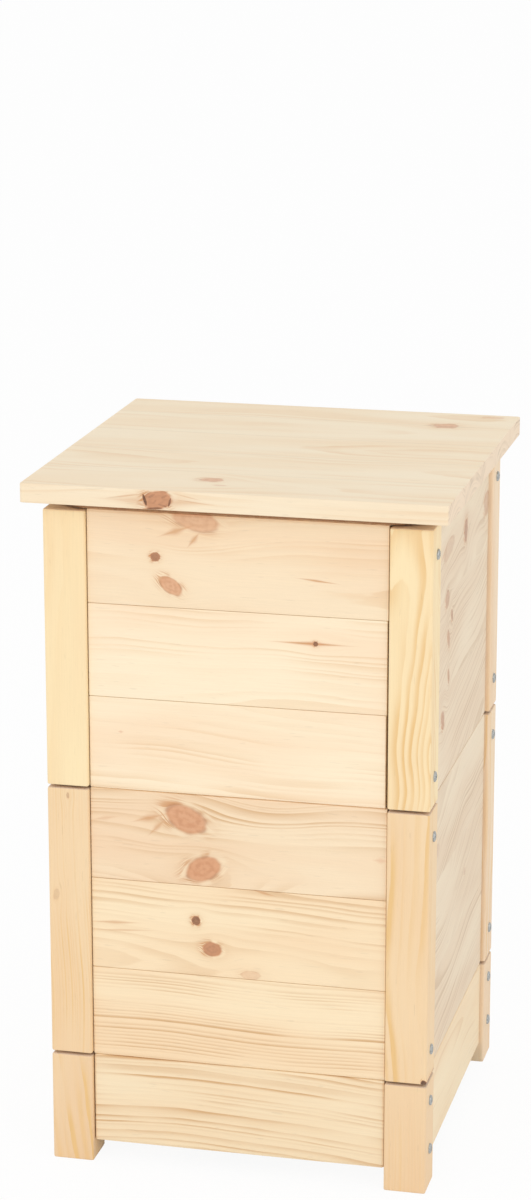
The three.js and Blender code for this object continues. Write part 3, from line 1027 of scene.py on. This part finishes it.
def add_mat():
    low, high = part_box("coir_mat")
    half = (high - low) / 2
    centre = (low + high) / 2
    floor_z = -half.z + MAT_ROUGHNESS
    top_z = half.z - MAT_ROUGHNESS - FIBRE_SIZE
    bm = bmesh.new()
    bmesh.ops.create_grid(bm, x_segments=MAT_STEPS, y_segments=MAT_STEPS, size=1)
    reach = (half.x - MAT_ROUGHNESS, half.y - MAT_ROUGHNESS)
    for vert in bm.verts:
        x, y = vert.co.x * reach[0], vert.co.y * reach[1]
        vert.co.x, vert.co.y = round_corner(x, y, *reach, MAT_RADIUS)
        vert.co.z = top_z
    bmesh.ops.solidify(bm, geom=bm.faces[:], thickness=top_z - floor_z)
    upright = [edge for edge in bm.edges if abs(edge.verts[0].co.z - edge.verts[1].co.z) > half.z]
    bmesh.ops.subdivide_edges(bm, edges=upright, cuts=MAT_SIDE_CUTS)
    bmesh.ops.recalc_face_normals(bm, faces=bm.faces[:])
    bm.normal_update()
    lumps = []
    for vert in bm.verts:
        lift = 0.0
        for count, (fineness, share) in enumerate(MAT_LUMPS):
            lift += share * noise.noise(vert.co * fineness + Vector((5 * count, 0, 0)))
        lumps.append((vert, vert.normal.copy(), lift * MAT_ROUGHNESS))
    for vert, normal, lift in lumps:
        level = min(half.z - abs(vert.co.z), MAT_EASE) / MAT_EASE
        sides = Vector((normal.x, normal.y, 0))
        if sides.length > MAT_SIDE:
            vert.co -= sides.normalized() * MAT_EASE * (1 - level) ** 2
        vert.co += normal * lift
        vert.co += centre
    mat = put_object(bm, "coir_felt")
    finish_piece(mat, "mat", coir("coir_felt"))
    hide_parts("coir_mat")
    inner = [value - MAT_EASE for value in reach]
    add_fibres(centre, inner, high.z - MAT_ROUGHNESS - FIBRE_SIZE)


def add_fibres(centre, reach, level):
    """Loose fibres that lie on the felt, each a thin three-sided bent strand."""
    chance = random.Random(12)
    whole = bmesh.new()
    for _ in range(FIBRES // FIBRE_BATCH):
        bm = bmesh.new()
        for _ in range(FIBRE_BATCH):
            lay_fibre(bm, chance, centre, reach, level)
        bmesh.ops.holes_fill(bm, edges=bm.edges[:], sides=3)
        bmesh.ops.recalc_face_normals(bm, faces=bm.faces[:])
        batch = bpy.data.meshes.new("fibre_batch")
        bm.to_mesh(batch)
        bm.free()
        whole.from_mesh(batch)
        bpy.data.meshes.remove(batch)
    finish_piece(put_object(whole, "coir_fibres"), "mat", coir("coir_fibre", loose=True))


def lay_fibre(bm, chance, centre, reach, level):
    length = chance.uniform(*FIBRE_LENGTHS)
    size = FIBRE_SIZE * chance.uniform(*FIBRE_THICKNESSES)
    turn = chance.uniform(0, math.tau)
    bend = chance.uniform(-FIBRE_BEND, FIBRE_BEND) * length
    lift = chance.uniform(*FIBRE_LIFTS) * FIBRE_SIZE
    start = Vector((chance.uniform(-1, 1) * reach[0], chance.uniform(-1, 1) * reach[1], 0))
    way = Matrix.Rotation(turn, 4, "Z")
    line = []
    for step in range(FIBRE_BENDS + 2):
        share = step / (FIBRE_BENDS + 1) - 0.5
        off = bend * (share * share * 4 - 1) + math.sin(share * 7 + turn * 3) * FIBRE_WAVE
        here = start + way @ Vector((share * length, off, 0))
        x, y = round_corner(here.x, here.y, *reach, MAT_RADIUS)
        x = max(-reach[0], min(reach[0], x))
        y = max(-reach[1], min(reach[1], y))
        line.append(Vector((centre.x + x, centre.y + y, level + lift)))
    section = Matrix.Translation(line[0]) @ way @ Matrix.Rotation(QUARTER, 4, "Y")
    ring = bmesh.ops.create_circle(bm, segments=3, radius=size, matrix=section)["verts"]
    edges = list({edge for vert in ring for edge in vert.link_edges})
    for here, there in zip(line, line[1:]):
        edges, ring = draw_out(bm, edges)
        bmesh.ops.translate(bm, vec=there - here, verts=ring)


COIR = linear(236, 187, 144)
COIR_DARK = linear(208, 158, 116)
# Dark brown of the real specks, also used for the painted shade on the sides
COIR_SPECK_AND_SIDE_SHADE = linear(126, 82, 52)
COIR_LIGHT = linear(250, 214, 172)
COIR_STRAW = linear(255, 226, 188)
COIR_DRAW = (1.0, 0.34, 1.0)  # its strands lie mostly from the front to the back
COIR_SWAY = 0.007  # how far the strands swing off their line
STRAND_LAYERS = 6
STRAND_TURN = 0.53  # from one layer of strands to the next, in radians
STRAND_LENGTHS = 120
STRAND_WIDTHS = 520


def coir(name, loose=False):
    """Brown coconut fibre: short strands that cross each other, light and dark, with painted shade that
    darkens the sides.
    """
    material, surface, place, normal = start_material(name, 0.15)
    place = scaled(place, COIR_DRAW)
    inputs = {"Vector": place, "Scale": 110.0, "Detail": 1.0}
    sway = field(place.tree, "ShaderNodeTexNoise", inputs, "Color")
    sway = calc_vector("SUBTRACT", sway, (0.5, 0.5, 0.5))
    place = calc_vector("ADD", place, calc_vector("SCALE", sway, COIR_SWAY, "Scale"))
    strands = 0.0
    for count in range(STRAND_LAYERS):
        scale = (STRAND_LENGTHS, STRAND_WIDTHS + 40 * count, 600)
        turned = scaled(place, scale, Rotation=(0, 0, 0.3 + count * STRAND_TURN))
        strands = calc("MAXIMUM", ramp(cloud(turned, detail=1.0), 0.55, 0.7), strands)
    specks = ramp(cloud(place, 260.0, detail=3.0, roughness=0.65), 0.42, 0.27)
    lights = ramp(cloud(scaled(place, (1, 1, 1), Location=(9, 0, 0)), 190.0), 0.53, 0.68)
    broad = ramp(cloud(place, 60.0, detail=3.0, roughness=0.6), 0.32, 0.68)
    # Painted shade: where the felt or a loose fibre doesn't face up, its colour is darkened towards the
    # specks' dark brown
    side = 1.0 - faces_along(normal, AXES["Z"])
    colour = blend(broad, COIR_DARK, COIR)
    colour = blend(lights * 0.3, colour, COIR_LIGHT)
    colour = blend(specks * 0.85, colour, COIR_SPECK_AND_SIDE_SHADE)
    colour = blend(strands * 0.7, colour, COIR_LIGHT)
    colour = blend(side * 0.75, colour, COIR_SPECK_AND_SIDE_SHADE)
    if loose:
        pick = ramp(cloud(place, 160.0, detail=0.0), 0.35, 0.65)
        colour = blend(0.8, colour, blend(pick, COIR_DARK, COIR_STRAW))
    cover(surface, colour, 0.95, strands + specks * -0.8, 0.0006, 0.5)
    return material


add_mat()


# The cloth liners: bags stapled into the boxes, hung by simulation

CLOTH_CUTS = 50
CLOTH_THICKNESS = 0.0007
CLOTH_CLEARANCE = 0.0012
CLOTH_LOOSENESS = 0.0035  # how far it stands off the wood before it hangs
CLOTH_RUFFLE = 0.003
RUFFLES_ROUND = 3  # how fine the ruffles are round the bag, and down it
RUFFLES_DOWN = 1.5
SLACK_AT_EDGE = 0.006
SLACK_BELOW = 0.045
SLACK_REACH = 0.06  # how far below the rim the cloth has its full slack
CLOTH_FRAMES = 36
CLOTH_BEND = 22  # how sharply the cloth bends round the posts
EDGE_WAVES = ((9, 0.0015), (30, 0.0008))  # of its edge: how fine, how high
BACK_START = 0.8  # share of the way from the middle to the back wall where the back begins
BACK_BLEND = 0.15  # share of that way over which it turns into the back
LEFT_GROWTH = 0.5  # how much the edge's step grows towards the left wall
SLOPE_START = 0.2  # where the edge starts to slope down, as a share of the way to the right
SLOPE_CURVE = 1.5
PLEAT_DEPTH = 0.012
PLEAT_LEFT = 0.005  # width of the pleat's steep side
PLEAT_RIGHT = 0.03
PLEAT_LEAN = 0.01  # how far to the right its foot is
RIDGES = 16
RIDGE_JITTER = 0.4
RIDGE_LEAN = 0.8  # how far round the bag a fold leans from its top to its foot, in radians
RIDGE_WIDTH = (0.009, 0.018)
RIDGE_DEPTH = (0.004, 0.011)
RIDGE_TOP = 0.02  # how far below its edge the cloth has its folds in full
RIDGE_FOOT = 0.15  # share of the height over which they run out above the floor
PLEAT_RIDGES = (-1.1, 1.3)  # lean of the two folds that start at the pleat
PINS_A_WALL = 7
PIN_REACH = 0.94  # how near to a wall's ends the cloth is pinned
FLOOR_PINNED = 0.9  # how near to the walls it is pinned to the floor
ON_FLOOR = 0.0001  # cloth this near to the floor lies on it
STAPLE_EVERY = 3  # pins from one staple that shows to the next
STAPLE_DROP = 0.007  # below the cloth's edge


class Bag:
    """Where the cloth of one liner may lie."""

    def __init__(self, prefix, seed, pleat, edge_drop, step, slope):
        self.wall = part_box(f"{prefix}_side_panel_right")[0].x - CLOTH_CLEARANCE
        self.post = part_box(f"{prefix}_post_front_right")[0].x
        self.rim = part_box(f"{prefix}_back_board_top")[1].z
        self.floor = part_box(f"{prefix}_floor_slat_1")[1].z + CLOTH_CLEARANCE
        self.prefix = prefix
        self.seed = seed
        self.pleat = pleat  # where it is along X
        self.edge_drop = edge_drop  # how far below the rim the edge is
        self.step = step  # how much lower the edge is left of the pleat
        self.slope = slope  # how much lower it gets towards the right
        chance = random.Random(int(seed))
        self.ridges = []
        for count in range(RIDGES):
            at = (count + chance.uniform(-RIDGE_JITTER, RIDGE_JITTER)) * math.tau / RIDGES
            lean = chance.uniform(-1, 1) * RIDGE_LEAN
            self.ridges.append((at, lean, chance.uniform(*RIDGE_WIDTH), chance.uniform(*RIDGE_DEPTH)))
        pleat_at = math.atan2(self.wall, pleat)
        for lean in PLEAT_RIDGES:
            self.ridges.append((pleat_at, lean, RIDGE_WIDTH[0], RIDGE_DEPTH[1]))

    def reach(self, angle):
        """From the middle to the wood, less a clearance, in one direction."""
        c, s = abs(math.cos(angle)), abs(math.sin(angle))
        corner = 2 * self.post - math.sqrt(2) * CLOTH_CLEARANCE
        near = (c / self.wall, s / self.wall, (c + s) / corner)
        return sum(n**CLOTH_BEND for n in near) ** (-1 / CLOTH_BEND)

    def edge(self, x, y):
        """How high the cloth's edge is stapled at one place of the rim."""
        drop = self.edge_drop
        for count, (fineness, height) in enumerate(EDGE_WAVES):
            drop += height * noise.noise(Vector((x * fineness, y * fineness, self.seed + 4 * count)))
        on_back = min(max((y / self.wall - BACK_START) / BACK_BLEND, 0), 1)
        if x < self.pleat:
            drop += on_back * self.step * (1 + LEFT_GROWTH * (self.pleat - x) / self.wall)
        else:
            drop += on_back * self.slope * max(x / self.wall - SLOPE_START, 0) ** SLOPE_CURVE
        return self.rim - drop

    def lift(self, angle, rise):
        """How far the slanting folds stand off the wall at one place."""
        total = 0.0
        for at, lean, width, depth in self.ridges:
            off = (angle - at - lean * (1 - rise) + math.pi) % math.tau - math.pi
            total += depth * math.exp(-((off * self.wall / width) ** 2))
        return total

    def fold(self, x, y, rise):
        """The pleat in the back wall: it overlaps on one side and runs out on the other."""
        if y < BACK_START * self.wall:
            return 0.0
        off = x - self.pleat - PLEAT_LEAN * (1 - rise)
        width = PLEAT_LEFT if off < 0 else PLEAT_RIGHT
        return PLEAT_DEPTH * math.exp(-((off / width) ** 2))

    def lay(self, x, y, z):
        """Where a point of a cube from -1 to 1 lies in the bag before it hangs."""
        share = max(abs(x), abs(y))
        angle = math.atan2(y, x)
        rise = (z + 1) / 2
        wave = Vector((x * RUFFLES_ROUND, y * RUFFLES_ROUND, z * RUFFLES_DOWN + self.seed))
        ruffle = noise.noise(wave) * CLOTH_RUFFLE
        below = (1 - rise) * (self.rim - self.floor)
        loose = min(below / RIDGE_TOP, 1) * min(rise / RIDGE_FOOT, 1)
        lift = (CLOTH_LOOSENESS + self.lift(angle, rise)) * loose
        reach = share * (self.reach(angle) - lift + ruffle * share * loose)
        x, y = reach * math.cos(angle), reach * math.sin(angle)
        pleat = self.fold(x, y, rise) * share
        return Vector((x, y - pleat, self.floor + rise * (self.edge(x, y) - self.floor)))


def start_bag(bag):
    bm = bmesh.new()
    bmesh.ops.create_cube(bm, size=2)
    bmesh.ops.subdivide_edges(bm, edges=bm.edges[:], cuts=CLOTH_CUTS, use_grid_fill=True)
    lid = [face for face in bm.faces if face.normal.z > 0.9]
    bmesh.ops.delete(bm, geom=lid, context="FACES")
    for vert in bm.verts:
        vert.co = bag.lay(*vert.co)
    return put_object(bm, f"{bag.prefix}_cloth")


def pin_bag(cloth, bag):
    """Pins the cloth at its edge and over the middle of the floor, and gives it more
    slack away from its edge. Gives the vertices at the staples that show."""
    pins = cloth.vertex_groups.new(name="pins")
    slack = cloth.vertex_groups.new(name="slack")
    for vert in cloth.data.vertices:
        x, y, z = vert.co
        below = min((bag.rim - z) / SLACK_REACH, 1.0)
        slack.add([vert.index], below, "REPLACE")
        if z < bag.floor + ON_FLOOR and max(abs(x), abs(y)) < FLOOR_PINNED * bag.wall:
            pins.add([vert.index], 1.0, "REPLACE")
    edge = rim_vertices(cloth.data)
    nearest = []
    for place in pin_places(bag):
        nearest.append(min(edge, key=lambda index: (cloth.data.vertices[index].co.xy - place).length))
    pins.add(nearest, 1.0, "REPLACE")
    return nearest[::STAPLE_EVERY]


def rim_vertices(mesh):
    counts = {}
    for face in mesh.polygons:
        for key in face.edge_keys:
            counts[key] = counts.get(key, 0) + 1
    return sorted({index for key, count in counts.items() if count == 1 for index in key})


def pin_places(bag):
    """Places round the rim where the cloth is held."""
    places = []
    for quarter in range(4):
        turn = Matrix.Rotation(quarter * QUARTER, 2)
        for step in range(PINS_A_WALL):
            share = (step + 0.5) / PINS_A_WALL * 2 - 1
            places.append(turn @ Vector((share * PIN_REACH * bag.wall, bag.wall)))
    return places


CLOTH_SETTINGS = {
    "quality": 6,
    "mass": 0.02,
    "tension_stiffness": 30,
    "compression_stiffness": 30,
    "shear_stiffness": 15,
    "bending_stiffness": 0.6,
    "air_damping": 3,
    "vertex_group_mass": "pins",
    "vertex_group_shrink": "slack",
    "shrink_min": -SLACK_AT_EDGE,
    "shrink_max": -SLACK_BELOW,
}


def hang_cloth(cloths):
    """Lets the bags hang from their staples, then keeps the shapes that they take."""
    for cloth in cloths:
        fall = cloth.modifiers.new("fall", "CLOTH")
        for name, value in CLOTH_SETTINGS.items():
            setattr(fall.settings, name, value)
        fall.collision_settings.use_collision = False
        fall.collision_settings.use_self_collision = False
        fall.point_cache.frame_end = CLOTH_FRAMES
    scene = bpy.context.scene
    for frame_number in range(1, CLOTH_FRAMES + 1):
        scene.frame_set(frame_number)
    graph = bpy.context.evaluated_depsgraph_get()
    for cloth in cloths:
        hung = bpy.data.meshes.new_from_object(cloth.evaluated_get(graph))
        old = cloth.data
        cloth.modifiers.clear()
        cloth.data = hung
        bpy.data.meshes.remove(old)
    scene.frame_set(1)


def keep_in_box(cloth, bag):
    """Brings cloth that bulged through the wood back to its surface."""
    for vert in cloth.data.vertices:
        x, y, z = vert.co
        far = math.hypot(x, y)
        limit = bag.reach(math.atan2(y, x))
        if far > limit:
            x, y = x * limit / far, y * limit / far
        vert.co = Vector((x, y, max(z, bag.floor)))


BAGS = {
    "upper": {"seed": 3.0, "pleat": -0.112, "edge_drop": 0.0075, "step": 0.0045, "slope": 0.008},
    "lower": {"seed": 8.0, "pleat": -0.126, "edge_drop": 0.0035, "step": 0.0085, "slope": 0.007},
}


def add_liners():
    bags = {prefix: Bag(prefix, **sizes) for prefix, sizes in BAGS.items()}
    cloths = {prefix: start_bag(bag) for prefix, bag in bags.items()}
    staples = {prefix: pin_bag(cloths[prefix], bag) for prefix, bag in bags.items()}
    hang_cloth(list(cloths.values()))
    material = black_cloth()
    metal = zinc("staple_wire", 0.5)
    for prefix, bag in bags.items():
        cloth = cloths[prefix]
        keep_in_box(cloth, bag)
        cloth.vertex_groups.clear()
        cloth.data.materials.clear()
        body = f"{prefix}_box"
        finish_piece(cloth, body, material)
        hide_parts(f"{prefix}_liner")
        places = [cloth.data.vertices[index].co.copy() for index in staples[prefix]]
        add_staples(prefix, body, places, metal)
        thick = cloth.modifiers.new("thickness", "SOLIDIFY")
        thick.thickness = CLOTH_THICKNESS
        thick.offset = 0.0


CLOTH_BLACK = linear(27, 24, 21)
CLOTH_GREY = linear(37, 33, 30)
CLOTH_SHEEN = {"Sheen Weight": 0.12, "Sheen Roughness": 0.5, "Sheen Tint": (0.75, 0.72, 0.7, 1)}


def black_cloth():
    """Non-woven fabric: near black, with a dull sheen, dimples and fine creases."""
    material, surface, place, _ = start_material("black_cloth", 0.35)
    for label, value in CLOTH_SHEEN.items():
        surface[label].default_value = value
    broad = ramp(cloud(place, 24.0, detail=3.0), 0.35, 0.65)
    creases = abs(cloud(place, 34.0, detail=3.0, roughness=0.55) - 0.5)
    inputs = {"Vector": place, "Scale": 520.0}
    dimples = field(place.tree, "ShaderNodeTexVoronoi", inputs, "Distance")
    colour = blend(broad, CLOTH_BLACK, CLOTH_GREY)
    height = dimples * 0.12 + ramp(creases, 0.0, 0.09)
    cover(surface, colour, dimples * 0.15 + 0.62, height, 0.0007, 0.35)
    return material


STAPLE_CROWN = 0.0065
STAPLE_WIRE = 0.0004


def add_staples(prefix, body, places, metal):
    """A flat wire staple over the cloth at each of some places."""
    bm = bmesh.new()
    for place in places:
        along_x = abs(place.y) > abs(place.x)
        outward = Vector((0, place.y, 0)) if along_x else Vector((place.x, 0, 0))
        inward = -outward.normalized() * (CLOTH_THICKNESS + STAPLE_WIRE) / 2
        centre = place + inward - AXES["Z"] * STAPLE_DROP
        flat = (STAPLE_CROWN, STAPLE_WIRE) if along_x else (STAPLE_WIRE, STAPLE_CROWN)
        made = bmesh.ops.create_cube(bm, size=1)
        bmesh.ops.scale(bm, vec=(*flat, 2 * STAPLE_WIRE), verts=made["verts"])
        bmesh.ops.translate(bm, vec=centre, verts=made["verts"])
    bmesh.ops.bevel(
        bm,
        geom=bm.edges[:],
        offset=STAPLE_WIRE / 5,
        segments=1,
        profile=0.5,
        affect="EDGES",
        material=-1,
    )
    finish_piece(put_object(bm, f"{prefix}_staples"), body, metal, smooth=False)


ZINC = (0.52, 0.53, 0.52, 1)
ZINC_DULL = (0.34, 0.35, 0.34, 1)


def zinc(name, roughness):
    """Zinc-plated steel, slightly blotched."""
    material, surface, place, _ = start_material(name)
    surface["Metallic"].default_value = 1.0
    blotch = ramp(cloud(place, 900.0), 0.35, 0.65)
    colour = blend(blotch, ZINC, ZINC_DULL)
    cover(surface, colour, blotch * 0.15 + roughness, cloud(place, 4000.0), 0.00003, 0.4)
    return material


add_liners()


# Screws: domed heads with a cross recess, on the posts' outer side faces

SCREW_HEAD = 0.0049  # radius
SCREW_DOME = 0.0010
SCREW_RIM = 0.0018
SCREW_SPREAD = 0.12  # how much wider the rim is than the dome
SCREW_RECESS = 0.0012
SCREW_NARROWING = 0.7  # of the recess towards its floor
SCREW_CELLS = 7
SCREW_CROSS_CELLS = 5
SCREW_STEPS = 3
SCREW_WOBBLE = 0.001  # how far a screw is off its place


def screw_head(bm, centre, side, turn):
    """One head that looks out along X: a disc from a square grid, whose cross-shaped
    middle sinks in."""
    made = bmesh.ops.create_grid(bm, x_segments=SCREW_CELLS, y_segments=SCREW_CELLS, size=1)
    verts = made["verts"]
    faces = {face for vert in verts for face in vert.link_faces}
    arms = []
    half_cell = 1 / SCREW_CELLS
    for face in faces:
        place = face.calc_center_median()
        near, far = sorted((abs(place.x), abs(place.y)))
        if near < half_cell and far < SCREW_CROSS_CELLS * half_cell:
            arms.append(face)
    rim = [edge for face in faces for edge in face.edges if edge.is_boundary]
    for vert in verts:
        across, over = rounded(vert.co.x, vert.co.y)
        dome = SCREW_DOME * (1 - across * across - over * over)
        vert.co = Vector((across * SCREW_HEAD, over * SCREW_HEAD, dome))
    sunk = verts_of(bmesh.ops.extrude_face_region(bm, geom=arms))
    bmesh.ops.delete(bm, geom=[face for face in arms if face.is_valid], context="FACES_ONLY")
    for vert in sunk:
        vert.co.x *= SCREW_NARROWING
        vert.co.y *= SCREW_NARROWING
        vert.co.z -= SCREW_RECESS
    verts = set(verts) | set(sunk)
    for step in range(1, SCREW_STEPS + 1):
        rim, ring = draw_out(bm, rim)
        angle = step / SCREW_STEPS * QUARTER
        spread = 1 + SCREW_SPREAD * math.sin(angle)
        for vert in ring:
            flat = vert.co.xy.normalized() * SCREW_HEAD * spread
            vert.co = Vector((flat.x, flat.y, -SCREW_RIM * (1 - math.cos(angle))))
        verts |= set(ring)
    outwards = Matrix.Rotation(side * QUARTER, 4, "Y") @ Matrix.Rotation(turn, 4, "Z")
    place = Matrix.Translation(centre) @ outwards
    bmesh.ops.transform(bm, matrix=place, verts=[vert for vert in verts if vert.is_valid])


BOX_SCREW_HEIGHTS = (0.034, 0.263)
BASE_SCREW_HEIGHTS = (0.043, 0.097)
SCREW_PLACE = 0.178
# For each unit: a post, the body that it belongs to, its floor and its screws' heights
SCREWED_UNITS = {
    "base": ("base_leg_front_right", "base", 0.0, BASE_SCREW_HEIGHTS),
    "lower": ("lower_post_front_right", "lower_box", BOX_FLOORS["lower"], BOX_SCREW_HEIGHTS),
    "upper": ("upper_post_front_right", "upper_box", BOX_FLOORS["upper"], BOX_SCREW_HEIGHTS),
}


def add_screws():
    chance = random.Random(21)
    metal = zinc("screw_zinc", 0.32)
    for unit, (post, body, floor, heights) in SCREWED_UNITS.items():
        post_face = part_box(post)[1].x
        bm = bmesh.new()
        for side in (-1, 1):
            for front in (-1, 1):
                for height in heights:
                    wobble = Vector((0, chance.uniform(-1, 1), chance.uniform(-1, 1))) * SCREW_WOBBLE
                    face = side * (post_face + SCREW_RIM)
                    centre = Vector((face, front * SCREW_PLACE, floor + height)) + wobble
                    screw_head(bm, centre, side, chance.uniform(0, math.tau))
        bmesh.ops.recalc_face_normals(bm, faces=bm.faces[:])
        finish_piece(put_object(bm, f"{unit}_screws"), body, metal)


add_screws()
